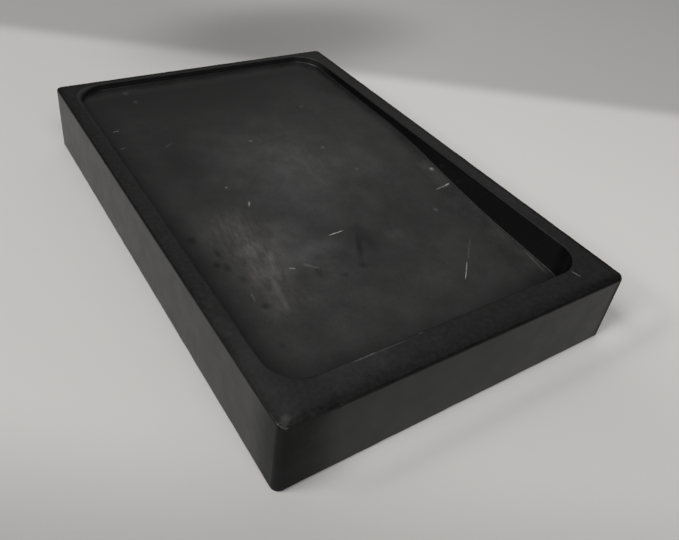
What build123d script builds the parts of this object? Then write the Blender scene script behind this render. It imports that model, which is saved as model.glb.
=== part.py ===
"""Rectangular slate ink stone, cut from one block.

Frame, in millimetres: the origin is the centre of the base, +Z is up out of the mouth,
X runs across the stone, and Y runs along it from the ink pool (-Y) to the grinding hall (+Y).
"""

import os
from math import atan2, tan

from build123d import *

# Slab
slab_length = 272.7
slab_width = 181.8
slab_height = 38.0
slab_corner_radius = 3.5
top_edge_radius = 1.0
base_edge_radius = 1.4

# Rims, from the slab's sides to the mouth of the recess
side_rim = 10.0
hall_rim = 4.9
pool_rim = 15.3
mouth_corner_radius = 16.0
mouth_edge_radius = 0.7

# Floor, as depths under the rim and runs along the stone, starting at the pool's wall
pool_depth = 18.2
slope_foot_depth = 14.6
slope_top_depth = 5.7
hall_depth = 4.3
pool_run = 70.0
slope_run = 70.0
foot_bend_radius = 570.0
top_bend_radius = 350.0
wall_foot_radius = 0.8

# How far the cutting shape stands out above the rim
overrun = 5.0

# Places that follow from these sizes
mouth_width = slab_width - 2 * side_rim
mouth_length = slab_length - pool_rim - hall_rim
pool_wall_y = -slab_length / 2 + pool_rim
slope_foot_y = pool_wall_y + pool_run
slope_top_y = slope_foot_y + slope_run
hall_wall_y = slab_length / 2 - hall_rim
mouth_centre_y = (pool_wall_y + hall_wall_y) / 2

pool_end = (pool_wall_y, slab_height - pool_depth)
slope_foot = (slope_foot_y, slab_height - slope_foot_depth)
slope_top = (slope_top_y, slab_height - slope_top_depth)
hall_end = (hall_wall_y, slab_height - hall_depth)


def bend_radius(before, corner, after, wanted):
    """The wanted radius, or the largest whose arc uses half of the shorter run beside it."""
    run_in = Vector(*corner) - Vector(*before)
    run_out = Vector(*after) - Vector(*corner)
    turn = abs(atan2(run_out.Y, run_out.X) - atan2(run_in.Y, run_in.X))
    if turn == 0:
        return wanted
    return min(wanted, min(run_in.length, run_out.length) / 2 / tan(turn / 2))


# The hollow is made first as a solid: the floor's side profile carried across the stone,
# then cut to the round-cornered mouth, with a small radius where the floor meets the wall.
with BuildPart() as hollow:
    with BuildSketch(Plane.YZ):
        with BuildLine():
            floor_line = FilletPolyline(
                pool_end,
                slope_foot,
                slope_top,
                hall_end,
                radius=[
                    bend_radius(pool_end, slope_foot, slope_top, foot_bend_radius),
                    bend_radius(slope_foot, slope_top, hall_end, top_bend_radius),
                ],
            )
            Polyline(
                floor_line @ 1,
                (hall_wall_y, slab_height + overrun),
                (pool_wall_y, slab_height + overrun),
                floor_line @ 0,
            )
        make_face()
    extrude(amount=mouth_width / 2, both=True)
    with BuildSketch(Plane.XY):
        with Locations((0, mouth_centre_y)):
            RectangleRounded(mouth_width, mouth_length, mouth_corner_radius)
    extrude(amount=slab_height + overrun, mode=Mode.INTERSECT)
    walls = hollow.faces().filter_by(lambda face: face.bounding_box().max.Z > slab_height)
    wall_foot = walls.edges().filter_by(lambda edge: edge.bounding_box().max.Z < slab_height)
    fillet(wall_foot, wall_foot_radius)

# The slab is a round-cornered block with eased edges, less the hollow, with a worn mouth edge.
with BuildPart() as ink_stone:
    with BuildSketch():
        RectangleRounded(slab_width, slab_length, slab_corner_radius)
    extrude(amount=slab_height)
    fillet(ink_stone.faces().sort_by(Axis.Z)[0].edges(), base_edge_radius)
    fillet(ink_stone.faces().sort_by(Axis.Z)[-1].edges(), top_edge_radius)
    add(hollow.part, mode=Mode.SUBTRACT)
    rim_face = ink_stone.faces().filter_by(Plane.XY).sort_by(Axis.Z)[-1]
    fillet(rim_face.inner_wires()[0].edges(), mouth_edge_radius)

ink_stone.part.label = "ink_stone"
os.makedirs("parts", exist_ok=True)
export_step(ink_stone.part, "parts/ink_stone.step")
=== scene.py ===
"""Looks of the slate ink stone: its worn surface, its black satin stone and the dried ink on it.

Lengths are in metres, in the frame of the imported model: the origin is the centre of the base,
+Z is up, X runs across the stone, and Y runs along it from the ink pool (-Y) to the hall (+Y).
"""

import math

import bpy
import numpy as np
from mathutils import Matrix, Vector, noise


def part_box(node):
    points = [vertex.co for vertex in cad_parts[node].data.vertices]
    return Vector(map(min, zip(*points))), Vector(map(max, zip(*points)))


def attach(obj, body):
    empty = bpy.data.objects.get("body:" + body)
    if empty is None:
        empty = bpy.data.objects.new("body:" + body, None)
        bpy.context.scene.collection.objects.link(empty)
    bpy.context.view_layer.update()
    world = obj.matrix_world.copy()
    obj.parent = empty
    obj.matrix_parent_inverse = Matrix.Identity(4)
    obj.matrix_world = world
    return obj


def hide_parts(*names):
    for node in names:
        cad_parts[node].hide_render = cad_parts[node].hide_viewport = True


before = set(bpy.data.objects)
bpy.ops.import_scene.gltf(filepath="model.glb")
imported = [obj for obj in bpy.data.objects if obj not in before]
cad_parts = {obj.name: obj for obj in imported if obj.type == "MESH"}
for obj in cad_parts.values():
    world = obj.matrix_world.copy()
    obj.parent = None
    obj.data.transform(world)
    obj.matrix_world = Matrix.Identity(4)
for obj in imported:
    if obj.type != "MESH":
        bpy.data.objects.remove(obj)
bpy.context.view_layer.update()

MM = 0.001

# Slab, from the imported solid
slab_low, slab_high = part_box("ink_stone")
slab_width, slab_length, slab_height = slab_high - slab_low
slab_corner_radius = 3.5 * MM
top_edge_radius = 1.0 * MM
base_edge_radius = 1.4 * MM

# Rims, from the slab's sides to the mouth of the recess
side_rim = 10.0 * MM
hall_rim = 4.9 * MM
pool_rim = 15.3 * MM
mouth_corner_radius = 16.0 * MM
mouth_edge_radius = 0.7 * MM

# Floor, as depths under the rim and runs along the stone, starting at the pool's wall
pool_depth = 18.2 * MM
slope_foot_depth = 14.6 * MM
slope_top_depth = 5.7 * MM
hall_depth = 4.3 * MM
pool_run = 70.0 * MM
slope_run = 70.0 * MM
bend_half_run = 20.0 * MM
wall_foot_radius = 0.8 * MM

# Places that follow from these sizes
half_width = slab_width / 2
half_length = slab_length / 2
mouth_half_width = half_width - side_rim
pool_wall_y = -half_length + pool_rim
hall_wall_y = half_length - hall_rim
slope_foot_y = pool_wall_y + pool_run
slope_top_y = slope_foot_y + slope_run

# How finely the surface is divided, in steps along its outline and in loops across each band.
# The loops on the rim crowd towards its outer edge, by this power of their share of the way.
corner_steps = 20
across_steps = 140
along_steps = 220
round_loops = 5
side_loops = 20
rim_loops = 14
rim_loop_crowding = 1.5
wall_loops = 10
support_gap = 0.35 * MM

# Hand-made unevenness: how deep it is, how far apart its hollows lie, and the seeds of its noise
face_hollow = 0.05 * MM
face_hollow_span = 55.0 * MM
face_hollow_seed = 5
face_ripple = 0.012 * MM
face_ripple_span = 13.0 * MM
face_ripple_seed = 6
edge_wear_share = 0.3
edge_wear_span = 9.0 * MM
top_edge_seed, base_edge_seed, mouth_edge_seed = 1, 2, 3

# Wear from use: the near end of the rim has rolled off towards its outer edge, the rest of the
# rim has done so a little, and the left side of the mouth is rounder than its other sides.
near_roll_drop = 1.0 * MM
near_roll_width = 8.5 * MM
side_roll_drop = 0.25 * MM
side_roll_width = 6.0 * MM
left_mouth_wear = 2.4 * MM

# Chips and blunted corners. Each has its middle as shares of the half width and half length,
# and then its reach and the radius that it adds to the top edge, in mm.
chip_shares = [
    (-1.0, -1.0, 3.0, 0.6),
    (-1.0, -0.50, 2.5, 0.4),
    (-1.0, -0.26, 1.5, 0.4),
    (-1.0, 0.013, 1.5, 0.4),
    (-1.0, 0.33, 1.5, 0.6),
    (-0.74, -1.0, 2.0, 0.5),
    (-0.36, -1.0, 1.5, 0.4),
    (0.10, -1.0, 1.5, 0.5),
]


# Shape of the stone

def direction(angle):
    """Unit vectors at these angles in the plan."""
    return np.stack([np.cos(angle), np.sin(angle)], -1)


def outline(half_wide, near_y, far_y, radius):
    """Points and outward directions round a rounded rectangle, from its far right corner's middle."""
    x = half_wide - radius
    centres = np.array([
        (x, far_y - radius),
        (-x, far_y - radius),
        (-x, near_y + radius),
        (x, near_y + radius),
    ])
    half = corner_steps // 2
    arc = math.pi / 4 * np.arange(half) / half
    points, ways = [], []
    for side in range(4):
        start, end = centres[side], centres[(side + 1) % 4]
        square = math.pi / 2 * (side + 1)
        steps = (across_steps, along_steps)[side % 2]
        share = np.arange(steps)[:, None] / steps
        first = direction(square - math.pi / 4 + arc)
        middle = np.repeat(direction(np.array([square])), steps, 0)
        last = direction(square + arc)
        points += [
            start + radius * first,
            start + (end - start) * share + radius * middle,
            end + radius * last,
        ]
        ways += [first, middle, last]
    return np.concatenate(points), np.concatenate(ways)


def bend(distance):
    """A ramp that starts at zero and turns smoothly into a slope of one."""
    reach = bend_half_run
    inside = (np.clip(distance, -reach, reach) + reach) ** 2 / (4 * reach)
    return inside + np.maximum(distance - reach, 0)


def floor_height(y):
    """Height of the recess's floor along the stone."""
    pool_slope = (slope_foot_depth - pool_depth) / pool_run
    main_slope = (slope_top_depth - slope_foot_depth) / slope_run
    hall_slope = (hall_depth - slope_top_depth) / (hall_wall_y - slope_top_y)
    depth = pool_depth + pool_slope * (y - pool_wall_y)
    depth = depth + (main_slope - pool_slope) * bend(y - slope_foot_y)
    depth = depth + (hall_slope - main_slope) * bend(y - slope_top_y)
    return slab_height - depth


def waves(points, span, seed):
    """Smooth noise from -1 to 1 at each point, with hollows about span apart."""
    shift = Vector((seed, 2.0 * seed, 3.0 * seed))
    return np.array([noise.noise(Vector(point) / span + shift) for point in points])


def smooth(share):
    """A smooth rise from zero to one as the share goes from zero to one."""
    share = np.clip(share, 0, 1)
    return share * share * (3 - 2 * share)


def worn(radius, line, seed):
    """An edge's rounding at each point of its outline, larger and smaller by turns."""
    points = np.column_stack([line, np.zeros(len(line))])
    return radius * (1 + edge_wear_share * waves(points, edge_wear_span, seed))


def chips(line):
    """The radius that chips and blunted corners add to the top edge at each point of its outline."""
    added = np.zeros(len(line))
    for across, along, reach, radius in chip_shares:
        away = np.hypot(line[:, 0] - across * half_width, line[:, 1] - along * half_length)
        added += radius * MM * smooth(1 - away / (reach * MM))
    return added


def stone_loops():
    """The loops of points from the base to the floor, each with its marks."""
    slab_line, slab_out = outline(half_width, -half_length, half_length, slab_corner_radius)
    mouth_line, mouth_out = outline(mouth_half_width, pool_wall_y, hall_wall_y, mouth_corner_radius)
    top_radius = worn(top_edge_radius, slab_line, top_edge_seed) + chips(slab_line)
    base_radius = worn(base_edge_radius, slab_line, base_edge_seed)
    on_left = smooth((mouth_corner_radius - mouth_half_width - mouth_line[:, 0]) / mouth_corner_radius)
    mouth_radius = worn(mouth_edge_radius, mouth_line, mouth_edge_seed) + left_mouth_wear * on_left
    near = smooth((-slab_line[:, 1] - half_length + slab_corner_radius) / slab_corner_radius)
    roll_drop = side_roll_drop + (near_roll_drop - side_roll_drop) * near
    roll_width = side_roll_width + (near_roll_width - side_roll_width) * near
    quarter = np.linspace(0, math.pi / 2, round_loops + 1)
    loops, marks = [], []

    def add(line, out, inset, height, side=0.0, mouth=0.0, wall=0.0, floor=0.0):
        plan = line - np.asarray(inset).reshape(-1, 1) * out
        loops.append(np.column_stack([plan, np.broadcast_to(height, len(line))]))
        marks.append((side, mouth, wall, floor))

    def rolled(inset):
        return slab_height - roll_drop * np.maximum(0, 1 - inset / roll_width) ** 2

    add(slab_line, slab_out, base_radius + support_gap, 0.0)
    for turn in quarter:
        inset, rise = base_radius * (1 - math.sin(turn)), base_radius * (1 - math.cos(turn))
        add(slab_line, slab_out, inset, rise, side=math.sin(turn))
    side_low, side_high = base_radius + support_gap, rolled(0) - top_radius - support_gap
    for share in np.linspace(0, 1, side_loops):
        add(slab_line, slab_out, 0.0, side_low + (side_high - side_low) * share, side=1.0)
    for turn in quarter:
        inset, drop = top_radius * (1 - math.cos(turn)), top_radius * (1 - math.sin(turn))
        add(slab_line, slab_out, inset, rolled(inset) - drop, side=math.cos(turn))
    rim_outer = slab_line - (top_radius + support_gap)[:, None] * slab_out
    rim_inner = mouth_line + (mouth_radius + support_gap)[:, None] * mouth_out
    for share in np.linspace(0, 1, rim_loops) ** rim_loop_crowding:
        plan = rim_outer + (rim_inner - rim_outer) * share
        add(plan, slab_out, 0.0, rolled(np.hypot(*(slab_line - plan).T)))
    for turn in quarter:
        inset, drop = mouth_radius * (math.sin(turn) - 1), mouth_radius * (1 - math.cos(turn))
        height = slab_height - drop
        add(mouth_line, mouth_out, inset, height, mouth=math.sin(2 * turn), wall=math.sin(turn))
    wall_high = slab_height - mouth_radius - support_gap
    foot = floor_height((mouth_line - wall_foot_radius * mouth_out)[:, 1])
    wall_low = foot + wall_foot_radius
    for share in np.linspace(0, 1, wall_loops):
        add(mouth_line, mouth_out, 0.0, wall_high + (wall_low - wall_high) * share, wall=1.0)
    for share, turn in zip(np.linspace(0, 1, round_loops + 1)[1:], quarter[1:]):
        inset, rise = wall_foot_radius * (1 - math.cos(turn)), wall_foot_radius * (1 - math.sin(turn))
        plan = mouth_line - inset * mouth_out
        add(plan, mouth_out, 0.0, floor_height(plan[:, 1]) + rise, wall=1 - share, floor=share)
    return loops, marks


def floor_patch(loop):
    """A grid of points spanning the floor inside its outline, far side first, right to left."""
    wide, long = across_steps + corner_steps, along_steps + corner_steps
    closed = np.vstack([loop, loop[:1]])
    far = closed[:wide + 1]
    left = closed[wide:wide + long + 1]
    near = closed[wide + long:2 * wide + long + 1][::-1]
    right = closed[2 * wide + long:][::-1]
    u = np.linspace(0, 1, wide + 1)[None, :, None]
    v = np.linspace(0, 1, long + 1)[:, None, None]
    grid = (1 - v) * far[None] + v * near[None] + (1 - u) * right[:, None] + u * left[:, None]
    grid = grid - (1 - u) * (1 - v) * far[0] - u * (1 - v) * far[-1]
    grid = grid - (1 - u) * v * near[0] - u * v * near[-1]
    grid[1:-1, 1:-1, 2] = floor_height(grid[1:-1, 1:-1, 1])
    return grid


def stone_mesh():
    """The closed mesh of the stone, its sides, mouth edge, walls and floor marked on its points."""
    loops, marks = stone_loops()
    count = len(loops[0])
    points = np.concatenate(loops)
    marks = np.repeat(marks, count, axis=0)
    here = np.arange(count)
    ahead = np.roll(here, -1)
    faces = [list(here[::-1])]
    for level in range(len(loops) - 1):
        low, high = level * count, (level + 1) * count
        faces += np.column_stack([low + here, low + ahead, high + ahead, high + here]).tolist()
    grid = floor_patch(loops[-1])
    rows, columns = grid.shape[:2]
    index = np.zeros((rows, columns), int)
    inner = grid[1:-1, 1:-1].reshape(-1, 3)
    index[1:-1, 1:-1] = len(points) + np.arange(len(inner)).reshape(rows - 2, columns - 2)
    last = (len(loops) - 1) * count
    index[0, :] = last + np.arange(columns)
    index[:, -1] = last + columns - 1 + np.arange(rows)
    index[-1, ::-1] = last + columns + rows - 2 + np.arange(columns)
    index[1:, 0] = last + 2 * columns + rows - 3 + np.arange(rows - 1)[::-1]
    a, b, c, d = index[:-1, :-1], index[:-1, 1:], index[1:, 1:], index[1:, :-1]
    faces += np.stack([a, b, c, d], -1).reshape(-1, 4).tolist()
    points = np.concatenate([points, inner])
    marks = np.concatenate([marks, np.tile(marks[-1], (len(inner), 1))])
    mesh = bpy.data.meshes.new("ink_stone_surface")
    mesh.from_pydata(points.tolist(), [], faces)
    for name, values in zip(("side", "mouth", "wall", "floor"), marks.T):
        layer = mesh.attributes.new(name, "FLOAT", "POINT")
        layer.data.foreach_set("value", values.astype(np.float32))
    mesh.shade_smooth()
    return mesh


def press_in(mesh):
    """Presses broad hollows and fine ripples into the surface, never out past the slab's sides."""
    count = len(mesh.vertices)
    places = np.zeros(count * 3)
    mesh.vertices.foreach_get("co", places)
    places = places.reshape(-1, 3)
    normals = np.zeros(count * 3)
    mesh.vertices.foreach_get("normal", normals)
    normals = normals.reshape(-1, 3)
    depth = face_hollow * (waves(places, face_hollow_span, face_hollow_seed) - 1) / 2
    depth += face_ripple * (waves(places, face_ripple_span, face_ripple_seed) - 1) / 2
    on_base = places[:, 2] < support_gap
    depth[on_base] = 0
    places += normals * depth[:, None]
    mesh.vertices.foreach_set("co", places.ravel())
    mesh.update()


# Finish of the stone

# The film of dried ink, dust and polish on the black stone, as reflectance
black = 0.002
wall_film = 0.001
# Painted light: the walls towards the hall's end are painted paler, standing in for light on them
far_wall_painted_light = 0.014
side_film = 0.0005
near_side_film = 0.003
base_film = 0.012
mouth_film = 0.018
floor_film = 0.004
haze_film = 0.016
far_foot_film = 0.008
rim_grain_film = 0.006
hairline_film = 0.003
speck_film = 0.12

# Tints of the film
grey = (1.0, 1.0, 1.0)
warm = (1.06, 1.0, 0.92)
olive = (1.03, 1.01, 0.94)
violet = (1.03, 0.96, 1.03)
cool = (0.96, 0.98, 1.08)

# The even haze over the floor fades towards the left wall, the pool's wall and the hall's wall,
# between these shares of the half width and half length
haze_left_shares = (-0.90, -0.68)
haze_near_shares = (-0.85, -0.70)
haze_far_shares = (0.92, 0.25)

# The near side is duller, dust gathers along the foot of the hall's wall, the walls towards the
# hall's end are paler as painted light, and the left side of the mouth is worn paler: none at
# the first share, and the most at the second
near_side_shares = (-0.980, -0.998)
far_foot_shares = (0.85, 0.93)
painted_light_wall_shares = (0.70, 0.93)
left_mouth_shares = (-0.70, -0.86)

# Patches on the floor. Each has its middle as shares of the half width and half length, its half
# sizes as shares of the half width, its turn in degrees, the film that it adds and its tint.
floor_shares = [
    (0.02, 0.12, 0.66, 0.70, 0, 0.014, grey),
    (-0.06, 0.02, 0.30, 0.52, 0, 0.006, violet),
    (0.12, 0.12, 0.30, 0.42, 10, 0.009, warm),
    (-0.52, -0.22, 0.26, 0.36, 8, 0.030, warm),
    (-0.56, -0.42, 0.17, 0.36, -4, 0.022, warm),
    (-0.30, -0.27, 0.20, 0.26, 0, 0.019, grey),
    (-0.14, -0.34, 0.12, 0.12, 0, 0.012, grey),
    (-0.25, -0.31, 0.10, 0.10, 0, 0.010, cool),
    (-0.30, -0.40, 0.24, 0.34, 0, 0.010, grey),
    (-0.48, -0.53, 0.14, 0.16, 0, 0.008, warm),
    (-0.56, -0.10, 0.16, 0.12, 0, 0.010, warm),
    (0.86, -0.42, 0.13, 0.72, 0, 0.011, grey),
    (0.50, 0.64, 0.34, 0.46, 0, 0.005, grey),
    (0.16, -0.77, 0.18, 0.08, 0, 0.008, grey),
    (0.26, -0.37, 0.06, 0.08, 0, 0.012, grey),
    (0.46, 0.05, 0.18, 0.28, 0, 0.011, grey),
    (0.84, -0.13, 0.10, 0.22, 0, 0.024, grey),
    (0.55, -0.55, 0.26, 0.30, 0, 0.004, olive),
    (-0.12, -0.63, 0.24, 0.16, 0, 0.006, olive),
    (0.30, -0.62, 0.26, 0.20, 0, 0.004, olive),
    (-0.40, -0.68, 0.20, 0.14, 0, 0.005, grey),
]

# Rubbed places, which take film away, in the same form without a tint
rubbed_shares = [
    (0.08, -0.36, 0.12, 0.15, 0, 0.012),
    (0.28, -0.06, 0.15, 0.10, 0, 0.008),
    (0.46, -0.30, 0.20, 0.26, 0, 0.004),
    (-0.60, 0.28, 0.30, 0.60, 0, 0.012),
    (0.80, 0.62, 0.14, 0.24, 0, 0.006),
]

# Small dark marks, which take film away in the same form
dark_shares = [
    (0.007, -0.385, 0.030, 0.150, -26, 0.014),
    (-0.048, -0.462, 0.034, 0.034, 0, 0.014),
    (-0.292, -0.429, 0.024, 0.100, -4, 0.014),
    (-0.174, -0.481, 0.028, 0.028, 0, 0.010),
    (-0.744, -0.271, 0.030, 0.030, 0, 0.014),
    (-0.707, -0.228, 0.022, 0.060, 10, 0.016),
    (-0.703, -0.294, 0.030, 0.050, 0, 0.012),
    (-0.665, -0.362, 0.030, 0.050, 20, 0.014),
    (-0.647, -0.496, 0.034, 0.036, 0, 0.018),
    (-0.790, -0.135, 0.040, 0.040, 0, 0.012),
    (-0.693, -0.660, 0.026, 0.030, 0, 0.010),
]

# Scratches: middle, half width, half length, turn and film, in the same shares
scratch_shares = [
    (0.450, -0.636, 0.0028, 0.084, -44, 0.32),
    (0.560, -0.565, 0.0060, 0.060, -42, 0.030),
    (0.625, -0.522, 0.0080, 0.040, -42, 0.018),
    (-0.042, -0.284, 0.0036, 0.050, -88, 0.32),
    (-0.075, -0.285, 0.0030, 0.026, -84, 0.20),
    (0.800, -0.212, 0.0060, 0.060, -84, 0.14),
    (0.850, -0.206, 0.0080, 0.022, -80, 0.22),
    (-0.404, -0.380, 0.0060, 0.022, -118, 0.12),
    (-0.306, -0.396, 0.0140, 0.050, -132, 0.030),
    (-0.676, -0.446, 0.0060, 0.036, -4, 0.035),
    (0.868, -0.710, 0.0110, 0.110, -6, 0.032),
    (-0.387, -0.035, 0.0050, 0.026, -25, 0.14),
    (-0.809, 0.600, 0.0060, 0.024, -88, 0.09),
    (-0.835, 0.466, 0.0060, 0.020, -70, 0.05),
    (-0.576, 0.425, 0.0080, 0.036, -60, 0.02),
    (-0.545, -0.460, 0.0200, 0.150, -8, 0.024),
    (-0.475, -0.320, 0.0180, 0.090, -20, 0.020),
]

# Specks and small blots, in the same form
blot_shares = [
    (0.848, -0.100, 0.022, 0.022, 0, 0.18),
    (-0.445, 0.078, 0.012, 0.012, 0, 0.12),
    (-0.387, -0.035, 0.014, 0.014, 0, 0.07),
    (-0.095, 0.338, 0.018, 0.018, 0, 0.07),
    (0.294, 0.186, 0.018, 0.026, -30, 0.040),
    (0.377, 0.006, 0.018, 0.018, 0, 0.035),
    (0.626, -0.316, 0.024, 0.024, 0, 0.035),
    (-0.572, 0.813, 0.022, 0.034, -10, 0.026),
    (-0.590, 0.907, 0.030, 0.040, 0, 0.020),
    (0.440, 0.528, 0.020, 0.034, -50, 0.018),
    (-0.650, -0.113, 0.030, 0.070, 10, 0.010),
]

# Marks on the rim: films of dust and grease, in the form of the floor's patches, and scratches,
# in the form of the floor's scratches
rim_shares = [
    (-0.55, -0.915, 0.12, 0.52, -90, 0.010, cool),
    (-0.94, -0.80, 0.12, 0.60, 0, 0.011, grey),
    (0.95, -0.02, 0.09, 0.80, 0, 0.003, grey),
    (0.95, -0.45, 0.09, 0.50, 0, 0.004, violet),
]
rim_scratch_shares = [
    (0.768, -0.912, 0.0050, 0.030, 14, 0.12),
    (-0.515, -0.8955, 0.0060, 0.070, -90, 0.045),
    (-0.370, -0.8965, 0.0060, 0.100, -90, 0.020),
    (-0.210, -0.8900, 0.0070, 0.020, -80, 0.050),
    (-0.975, -0.982, 0.0240, 0.050, -55, 0.024),
]

# A stroke fades between these shares of its half width and of its half length
stroke_side_shares = (1.0, 0.2)
stroke_end_shares = (1.0, 0.5)

# The noise that bends the outlines of the patches and scratches: its span and its reach
warp_span = 24.0 * MM
warp_reach = 9.0 * MM
ripple_span = 6.0 * MM
ripple_reach = 2.0 * MM
scratch_span = 1.3 * MM
scratch_reach = 0.3 * MM
warp_detail = 2.0

# The patterns of noise: their span and length, how many finer layers they have and how strong
# each is next to the one before, the levels of the noise between which they rise, and their
# factor at either end. The hairlines' turn is in degrees.
mottle_span = 15.0 * MM
mottle_detail, mottle_layering = 6.0, 0.7
mottle_levels, mottle_factors = (0.25, 0.75), (0.70, 1.30)
mottle_roughness_factors = (0.92, 1.08)
streak_span, streak_length = 2.2 * MM, 8.0 * MM
streak_detail = 4.0
streak_levels, streak_factors = (0.35, 0.65), (0.62, 1.36)
grain_span = 0.7 * MM
grain_detail, grain_layering = 3.0, 0.6
grain_levels, grain_factors = (0.25, 0.75), (0.85, 1.15)
rim_grain_span = 2.2 * MM
rim_grain_detail, rim_grain_layering = 4.0, 0.7
rim_grain_levels = (0.35, 0.70)
hairline_span, hairline_length = 1.1 * MM, 38.0 * MM
hairline_detail = 1.0
hairline_levels = (0.70, 0.78)
hairline_turn = 28.0
hairline_shift = (1.0, 1.0, 1.0)
speck_span = 7.0 * MM
speck_size = 0.25 * MM
speck_levels = (0.8, 1.0)

# The ground grain and the grinding lines that are pressed into the surface
grain_depth = 0.025 * MM
pressed_detail = 2.0
grind_span, grind_length = 0.9 * MM, 9.0 * MM
grind_depth = 0.02 * MM

# The dull upright corners: their reach, the share of it that is fully dull, and the wider part
# round the worn corner, whose strength is given for the left side and for the near side
corner_reach_across = 6.5 * MM
corner_reach_along = 5.0 * MM
corner_core_share = 0.12
worn_corner_spread = 4.5
left_worn_share = 0.35
near_worn_share = 0.80

# Where each area of the surface starts and where it is full: levels of the marks on the points,
# and of how far the surface faces up
foot_levels = (0.0, 0.15)
floor_levels = (0.75, 1.0)
side_levels = (0.9, 1.0)
above_levels = (0.85, 0.98)
below_levels = (-0.5, -0.9)

# Refractive index of the stone, and roughness of each part of its surface
slate_ior = 1.38
rim_roughness = 0.28
side_roughness = 0.36
near_side_roughness = 0.44
mouth_roughness = 0.55
wall_roughness = 0.22
floor_roughness = 0.40
foot_roughness = 0.40
corner_roughness = 1.00
base_roughness = 0.60


def add_node(tree, kind, **settings):
    """A node with its named properties set; inputs are given as a dictionary of values or sockets."""
    inputs = settings.pop("inputs", {})
    node = tree.nodes.new(kind)
    for name, value in settings.items():
        setattr(node, name, value)
    for key, value in inputs.items():
        if isinstance(value, bpy.types.NodeSocket):
            tree.links.new(value, node.inputs[key])
        else:
            node.inputs[key].default_value = value
    return node


def calculate(tree, operation, first, second=0.0, third=0.0, clamp=False):
    """The result of one sum on up to three values or sockets."""
    inputs = {0: first, 1: second, 2: third}
    node = add_node(tree, "ShaderNodeMath", operation=operation, use_clamp=clamp, inputs=inputs)
    return node.outputs[0]


def fade(tree, value, start, end, low=0.0, high=1.0):
    """A smooth change from low to high as the value goes from start to end."""
    node = add_node(
        tree, "ShaderNodeMapRange", interpolation_type="SMOOTHSTEP",
        inputs={"Value": value, "From Min": start, "From Max": end, "To Min": low, "To Max": high},
    )
    return node.outputs["Result"]


def cloud(tree, place, detail, layering=0.5, span=1.0):
    """Noise from 0 to 1 whose patches are about span across."""
    node = add_node(
        tree, "ShaderNodeTexNoise",
        inputs={"Vector": place, "Scale": 1 / span, "Detail": detail, "Roughness": layering},
    )
    return node.outputs["Fac"]


def vector(tree, operation, first, second=(0.0, 0.0, 0.0)):
    """The result of one operation on two vectors or sockets."""
    node = add_node(
        tree, "ShaderNodeVectorMath", operation=operation, inputs={0: first, 1: second},
    )
    return node.outputs[0]


def scaled(tree, value, factor):
    """A vector times a value or socket."""
    node = add_node(
        tree, "ShaderNodeVectorMath", operation="SCALE", inputs={0: value, "Scale": factor},
    )
    return node.outputs[0]


def length(tree, value):
    """The length of a vector or socket."""
    node = add_node(tree, "ShaderNodeVectorMath", operation="LENGTH", inputs={0: value})
    return node.outputs["Value"]


def reach_along(tree, value, way):
    """How far a vector or socket reaches in a direction."""
    node = add_node(
        tree, "ShaderNodeVectorMath", operation="DOT_PRODUCT", inputs={0: value, 1: way},
    )
    return node.outputs["Value"]


def between(tree, share, first, second):
    """The value that lies this share of the way from the first to the second."""
    return add_node(tree, "ShaderNodeMix", inputs={0: share, 2: first, 3: second}).outputs[0]


def mark(tree, name):
    """One of the marks on the mesh's points."""
    return add_node(tree, "ShaderNodeAttribute", attribute_name=name).outputs["Fac"]


def warped(tree, place, span, reach):
    """Places moved about by up to reach, by noise whose patches are about span across."""
    push = add_node(
        tree, "ShaderNodeTexNoise",
        inputs={"Vector": place, "Scale": 1 / span, "Detail": warp_detail},
    )
    centred = vector(tree, "SUBTRACT", push.outputs["Color"], (0.5, 0.5, 0.5))
    return vector(tree, "ADD", place, scaled(tree, centred, 2 * reach))


def stretched(tree, place, wide, long, turn=0.0):
    """Places measured in spans of this width and length, along lines turned in the plan."""
    node = add_node(
        tree, "ShaderNodeMapping", vector_type="TEXTURE",
        inputs={
            "Vector": place,
            "Rotation": (0.0, 0.0, math.radians(turn)),
            "Scale": (wide, long, wide),
        },
    )
    return node.outputs[0]


def local_place(tree, place, across, along, wide, long, turn):
    """Places in a turned frame in the plan, one at the ends of its half width and half length."""
    node = add_node(
        tree, "ShaderNodeMapping", vector_type="TEXTURE",
        inputs={
            "Vector": place,
            "Location": (across * half_width, along * half_length, 0.0),
            "Rotation": (0.0, 0.0, math.radians(turn)),
            "Scale": (wide * half_width, long * half_width, 1.0),
        },
    )
    return node.outputs[0]


def spot(tree, local):
    """One in the middle of an ellipse, falling smoothly to zero at its outline."""
    return fade(tree, length(tree, local), 1.0, 0.0)


def stroke(tree, local):
    """One along the middle of a straight stroke, falling to zero at its sides and ends."""
    parts = add_node(tree, "ShaderNodeSeparateXYZ", inputs={0: vector(tree, "ABSOLUTE", local)})
    across = fade(tree, parts.outputs["X"], *stroke_side_shares)
    along = fade(tree, parts.outputs["Y"], *stroke_end_shares)
    return calculate(tree, "MULTIPLY", across, along)


def total_of(tree, place, rows, shape=spot):
    """The sum of several spots or strokes, each times its strength."""
    total = 0.0
    for across, along, wide, long, turn, strength in rows:
        one = shape(tree, local_place(tree, place, across, along, wide, long, turn))
        total = calculate(tree, "MULTIPLY_ADD", one, strength, third=total)
    return total


def tinted_total(tree, place, rows, warm_share=1.0):
    """The sum of several spots as a colour, each in its own tint; the warm ones times a share."""
    colour = (0.0, 0.0, 0.0)
    for tint in (grey, warm, olive, violet, cool):
        chosen = [row[:-1] for row in rows if row[-1] is tint]
        if not chosen:
            continue
        amount = total_of(tree, place, chosen)
        if tint is warm:
            amount = calculate(tree, "MULTIPLY", amount, warm_share)
        colour = vector(tree, "ADD", colour, scaled(tree, tint, amount))
    return colour


def fade_across(tree, place, axis, start, end):
    """A rise from zero to one between two shares of the half width (X) or half length (Y)."""
    coordinate = add_node(tree, "ShaderNodeSeparateXYZ", inputs={0: place}).outputs[axis]
    half = {"X": half_width, "Y": half_length}[axis]
    return fade(tree, coordinate, start * half, end * half)


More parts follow.
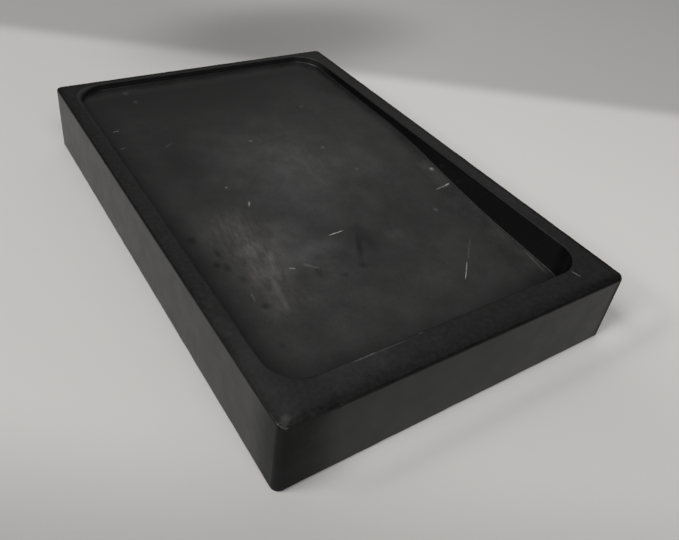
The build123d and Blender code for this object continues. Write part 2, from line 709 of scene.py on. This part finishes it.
def even_haze(tree, plan):
    """The haze over the whole floor, one in its middle and zero towards three of its walls."""
    left = fade_across(tree, plan, "X", *haze_left_shares)
    near = fade_across(tree, plan, "Y", *haze_near_shares)
    far = fade_across(tree, plan, "Y", *haze_far_shares)
    return calculate(tree, "MULTIPLY", calculate(tree, "MULTIPLY", left, near), far)


def hairlines(tree, place):
    """Fine straight scratches, one where they lie and zero elsewhere."""
    shifted = vector(tree, "ADD", place, hairline_shift)
    local = stretched(tree, shifted, hairline_span, hairline_length, hairline_turn)
    return fade(tree, cloud(tree, local, hairline_detail), *hairline_levels)


def floor_film_colour(tree, place, plan, scratch_place, mottle):
    """The film of dried ink on the floor, as a colour."""
    streaks = cloud(tree, stretched(tree, place, streak_span, streak_length), streak_detail)
    streak = fade(tree, streaks, *streak_levels, *streak_factors)
    even = calculate(tree, "MULTIPLY_ADD", even_haze(tree, plan), haze_film, third=floor_film)
    far_foot = fade_across(tree, place, "Y", *far_foot_shares)
    even = calculate(tree, "MULTIPLY_ADD", far_foot, far_foot_film, third=even)
    even = calculate(tree, "SUBTRACT", even, total_of(tree, plan, rubbed_shares))
    even = calculate(tree, "SUBTRACT", even, total_of(tree, scratch_place, dark_shares))
    colour = scaled(tree, grey, even)
    colour = vector(tree, "ADD", colour, tinted_total(tree, plan, floor_shares, streak))
    colour = vector(tree, "MAXIMUM", scaled(tree, colour, mottle))
    scratches = total_of(tree, scratch_place, scratch_shares, stroke)
    marks = calculate(tree, "ADD", scratches, total_of(tree, scratch_place, blot_shares))
    marks = calculate(tree, "MULTIPLY_ADD", hairlines(tree, place), hairline_film, third=marks)
    return vector(tree, "ADD", colour, scaled(tree, grey, marks))


def specks(tree, place):
    """Scattered grains of dust and dried ink, one on them and zero elsewhere."""
    cells = add_node(tree, "ShaderNodeTexVoronoi", inputs={"Vector": place, "Scale": 1 / speck_span})
    chosen = add_node(tree, "ShaderNodeSeparateColor", inputs={0: cells.outputs["Color"]})
    size = calculate(tree, "MULTIPLY", chosen.outputs[1], speck_size / speck_span)
    inside = calculate(tree, "LESS_THAN", cells.outputs["Distance"], size)
    return calculate(tree, "MULTIPLY", inside, fade(tree, chosen.outputs[0], *speck_levels))


def dull_corners(tree, place, near_side):
    """One on the four upright corners, and less in a wider part round the left one by the pool."""
    corner = (half_width, half_length, 0.0)
    from_worn = vector(tree, "ADD", place, corner)
    from_any = vector(tree, "SUBTRACT", vector(tree, "ABSOLUTE", place), corner)
    worn_share = between(tree, near_side, left_worn_share, near_worn_share)
    corners = []
    for from_corner, spread, share in (
        (from_worn, worn_corner_spread, worn_share),
        (from_any, 1.0, 1.0),
    ):
        across, along = 1 / (spread * corner_reach_across), 1 / (spread * corner_reach_along)
        local = vector(tree, "MULTIPLY", from_corner, (across, along, 0.0))
        corners.append(fade(tree, length(tree, local), 1.0, corner_core_share, 0.0, share))
    return calculate(tree, "MAXIMUM", *corners)


def black_slate():
    """Black slate with a satin face, worn edges, and a film of dried ink in its hollow."""
    material = bpy.data.materials.new("black_slate")
    material.use_nodes = True
    tree = material.node_tree
    tree.nodes.clear()
    place = add_node(tree, "ShaderNodeTexCoord").outputs["Object"]
    side, mouth, wall, floor = (mark(tree, name) for name in ("side", "mouth", "wall", "floor"))
    foot = fade(tree, calculate(tree, "MULTIPLY", floor, wall), *foot_levels)
    floor = fade(tree, floor, *floor_levels)
    normal = add_node(tree, "ShaderNodeNewGeometry").outputs["Normal"]
    facing = add_node(tree, "ShaderNodeSeparateXYZ", inputs={0: normal}).outputs["Z"]
    above = fade(tree, facing, *above_levels)
    below = fade(tree, facing, *below_levels)
    near_side = fade_across(tree, place, "Y", *near_side_shares)
    corner = dull_corners(tree, place, near_side)
    corner = calculate(tree, "MULTIPLY", corner, fade(tree, side, *side_levels))

    plan = warped(tree, warped(tree, place, warp_span, warp_reach), ripple_span, ripple_reach)
    scratch_place = warped(tree, place, scratch_span, scratch_reach)
    mottle = cloud(tree, place, mottle_detail, mottle_layering, mottle_span)
    mottle = fade(tree, mottle, *mottle_levels, *mottle_factors)
    grain = cloud(tree, place, grain_detail, grain_layering, grain_span)
    grain = fade(tree, grain, *grain_levels, *grain_factors)

    rim_grain = cloud(tree, place, rim_grain_detail, rim_grain_layering, rim_grain_span)
    rim_grain = fade(tree, rim_grain, *rim_grain_levels, 0.0, rim_grain_film)
    # Painted light on the walls, paler towards the hall's end
    wall_film_and_painted_light = fade_across(tree, place, "Y", *painted_light_wall_shares)
    wall_film_and_painted_light = between(tree, wall_film_and_painted_light, wall_film, far_wall_painted_light)
    worn_mouth = fade_across(tree, place, "X", *left_mouth_shares)
    worn_mouth = calculate(tree, "MULTIPLY", mouth, worn_mouth)
    sides_film = between(tree, near_side, side_film, near_side_film)
    film = between(tree, side, rim_grain, sides_film)
    film = between(tree, wall, film, wall_film_and_painted_light)
    film = calculate(tree, "MULTIPLY_ADD", worn_mouth, mouth_film, third=film)
    film = between(tree, below, film, base_film)
    film = calculate(tree, "MULTIPLY_ADD", specks(tree, place), speck_film, third=film)
    rim_film = tinted_total(tree, plan, rim_shares)
    rim_scratches = total_of(tree, scratch_place, rim_scratch_shares, stroke)
    rim_film = vector(tree, "ADD", rim_film, scaled(tree, grey, rim_scratches))
    colour = vector(tree, "ADD", scaled(tree, grey, film), scaled(tree, rim_film, above))
    off_floor = calculate(tree, "SUBTRACT", 1.0, floor)
    colour = scaled(tree, colour, calculate(tree, "MULTIPLY", mottle, off_floor))
    floor_colour = floor_film_colour(tree, place, plan, scratch_place, mottle)
    colour = vector(tree, "ADD", colour, scaled(tree, floor_colour, floor))
    colour = vector(tree, "ADD", scaled(tree, colour, grain), (black, black, black))

    sides_roughness = between(tree, near_side, side_roughness, near_side_roughness)
    rough = between(tree, side, rim_roughness, sides_roughness)
    for area, roughness in (
        (wall, wall_roughness),
        (mouth, mouth_roughness),
        (floor, floor_roughness),
        (foot, foot_roughness),
        (corner, corner_roughness),
        (below, base_roughness),
    ):
        rough = between(tree, area, rough, roughness)
    uneven = fade(tree, mottle, *mottle_factors, *mottle_roughness_factors)
    rough = calculate(tree, "MULTIPLY", rough, uneven, clamp=True)

    grinding = cloud(tree, stretched(tree, place, grind_span, grind_length), pressed_detail)
    pressed_grain = cloud(tree, place, pressed_detail, span=grain_span)
    bump = add_node(
        tree, "ShaderNodeBump",
        inputs={"Height": pressed_grain, "Distance": grain_depth},
    )
    bump = add_node(
        tree, "ShaderNodeBump",
        inputs={"Height": grinding, "Distance": grind_depth, "Normal": bump.outputs[0]},
    )
    shader = add_node(
        tree, "ShaderNodeBsdfPrincipled",
        inputs={
            "Base Color": colour,
            "Roughness": rough,
            "Normal": bump.outputs[0],
            "IOR": slate_ior,
        },
    )
    output = add_node(tree, "ShaderNodeOutputMaterial")
    tree.links.new(shader.outputs["BSDF"], output.inputs["Surface"])
    return material


stone_surface = stone_mesh()
press_in(stone_surface)
stone = bpy.data.objects.new("ink_stone_surface", stone_surface)
bpy.context.scene.collection.objects.link(stone)
stone_surface.materials.append(black_slate())
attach(stone, "root")
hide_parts("ink_stone")


# Floor, light and camera

# Tone of the floor under the stone, and its factors: painted light to the right, painted shade
# far behind and in front, and a darker patch behind
ground_half = 1.6
pale = 0.572
painted_light_right_factor = 1.20
painted_shade_behind_factor = 0.69
painted_shade_front_factor = 0.634
patch_factor = 0.605
ground_tint = (1.0, 0.99, 0.977)
ground_roughness = 0.75

# Where these tones start and are full: to the right of the middle, or away from the viewer,
# whose view runs at this angle, in radians, from the stone's length
right_run = (0.048, 0.188)
behind_run = (0.205, 0.234)
front_run = (-0.131, -0.221)
view_angle = 0.636
patch_place = (0.137, 0.253, 0.0)
patch_size = (0.217, 0.126, 1.0)

# Painted light: the floor is lighter close to the stone's right and near faces, weakening the
# stone's shadow there, but never paler than palest. The shares of the half width and half
# length keep this off the far left and the far end.
palest = 0.93
painted_light_gain = 0.60
foot_reach_right = 0.056
foot_reach_near = 0.0155
foot_left_shares = (-0.95, -0.50)
foot_far_shares = (0.90, 0.50)

# The room glows in this direction: its strength rises from the first value to the second between
# these levels of how directly that direction is faced
glow_way = (0.37, 0.48, 0.795)
glow_levels = (0.78, 1.0)
room_strengths = (0.05, 0.45)
room_tint = (1.0, 0.995, 0.985, 1.0)

# Lamps: name, energy in watts and place
lamp_rows = [
    ("key_lamp", 86.0, (-2.2, 0.2, 2.4)),
    ("fill_lamp", 36.0, (-0.5, -2.2, 2.3)),
]
lamp_size = 1.8
lamp_tint = (1.0, 0.992, 0.978)

# Camera, held above the left corner at the pool's end, and its turns in degrees
camera_place = (-170.2 * MM, -253.4 * MM, 227.6 * MM)
camera_turns = (53.586, -6.208, -32.397)


def painted_light_beside_stone(tree, place):
    """One over most of the floor, and more beside the stone's right and near faces, as painted light
    that weakens the stone's shadow there.
    """
    outward = vector(tree, "MULTIPLY", place, (1.0, -1.0, 0.0))
    beyond = vector(tree, "SUBTRACT", outward, (half_width, half_length, 0.0))
    beyond = vector(tree, "MAXIMUM", beyond)
    beyond = vector(tree, "MULTIPLY", beyond, (1 / foot_reach_right, 1 / foot_reach_near, 0.0))
    painted_light_share = fade(tree, length(tree, beyond), 1.0, 0.0)
    for axis, shares in (("X", foot_left_shares), ("Y", foot_far_shares)):
        painted_light_share = calculate(tree, "MULTIPLY", painted_light_share, fade_across(tree, place, axis, *shares))
    return calculate(tree, "MULTIPLY_ADD", painted_light_share, painted_light_gain, third=1.0)


def pale_floor():
    """A pale floor, with painted light on the right and beside the stone and painted shade behind and
    in front.
    """
    half = ground_half
    mesh = bpy.data.meshes.new("floor")
    corners = [(-half, -half, 0.0), (half, -half, 0.0), (half, half, 0.0), (-half, half, 0.0)]
    mesh.from_pydata(corners, [], [(0, 1, 2, 3)])
    floor = bpy.data.objects.new("floor", mesh)
    bpy.context.scene.collection.objects.link(floor)
    material = bpy.data.materials.new("pale_floor")
    material.use_nodes = True
    tree = material.node_tree
    shader = tree.nodes["Principled BSDF"]
    place = add_node(tree, "ShaderNodeTexCoord").outputs["Object"]
    away = reach_along(tree, place, (math.sin(view_angle), math.cos(view_angle), 0.0))
    across = add_node(tree, "ShaderNodeSeparateXYZ", inputs={0: place}).outputs["X"]
    patch = add_node(
        tree, "ShaderNodeMapping", vector_type="TEXTURE",
        inputs={"Vector": place, "Location": patch_place, "Scale": patch_size},
    ).outputs[0]
    # Painted light on the right, and painted shade far behind and in front
    tone = fade(tree, across, *right_run, pale, pale * painted_light_right_factor)
    for factor in (
        fade(tree, away, *behind_run, 1.0, painted_shade_behind_factor),
        fade(tree, away, *front_run, 1.0, painted_shade_front_factor),
        fade(tree, spot(tree, patch), 0.0, 1.0, 1.0, patch_factor),
    ):
        tone = calculate(tree, "MULTIPLY", tone, factor)
    # Painted light beside the stone's right and near faces
    tone = calculate(tree, "MULTIPLY", tone, painted_light_beside_stone(tree, place))
    tone = calculate(tree, "MINIMUM", tone, palest)
    tree.links.new(scaled(tree, ground_tint, tone), shader.inputs["Base Color"])
    shader.inputs["Roughness"].default_value = ground_roughness
    mesh.materials.append(material)


def soft_light():
    """A dim room with a broad glow high behind the stone, and two large soft lamps."""
    world = bpy.data.worlds.new("room")
    bpy.context.scene.world = world
    world.use_nodes = True
    tree = world.node_tree
    tree.nodes.clear()
    way = add_node(tree, "ShaderNodeTexCoord").outputs["Generated"]
    towards = reach_along(tree, way, Vector(glow_way).normalized())
    strength = fade(tree, towards, *glow_levels, *room_strengths)
    light = add_node(
        tree, "ShaderNodeBackground", inputs={"Strength": strength, "Color": room_tint},
    )
    output = add_node(tree, "ShaderNodeOutputWorld")
    tree.links.new(light.outputs[0], output.inputs["Surface"])

    for name, energy, place in lamp_rows:
        lamp = bpy.data.lights.new(name, "AREA")
        lamp.shape = "SQUARE"
        lamp.size = lamp_size
        lamp.energy = energy
        lamp.color = lamp_tint
        holder = bpy.data.objects.new(name, lamp)
        holder.location = place
        holder.rotation_euler = (-holder.location).to_track_quat("-Z", "Y").to_euler()
        holder.visible_camera = False
        bpy.context.scene.collection.objects.link(holder)


def photo_camera():
    """The camera of the photograph."""
    data = bpy.data.cameras.new("camera")
    data.sensor_width = 36.0
    data.lens = 36.225
    data.shift_x = 0.0140
    data.shift_y = -0.0663
    data.clip_start = 0.01
    camera = bpy.data.objects.new("camera", data)
    camera.location = camera_place
    camera.rotation_euler = [math.radians(turn) for turn in camera_turns]
    bpy.context.scene.collection.objects.link(camera)
    bpy.context.scene.camera = camera


pale_floor()
soft_light()
photo_camera()
bpy.context.scene.view_settings.view_transform = "Standard"
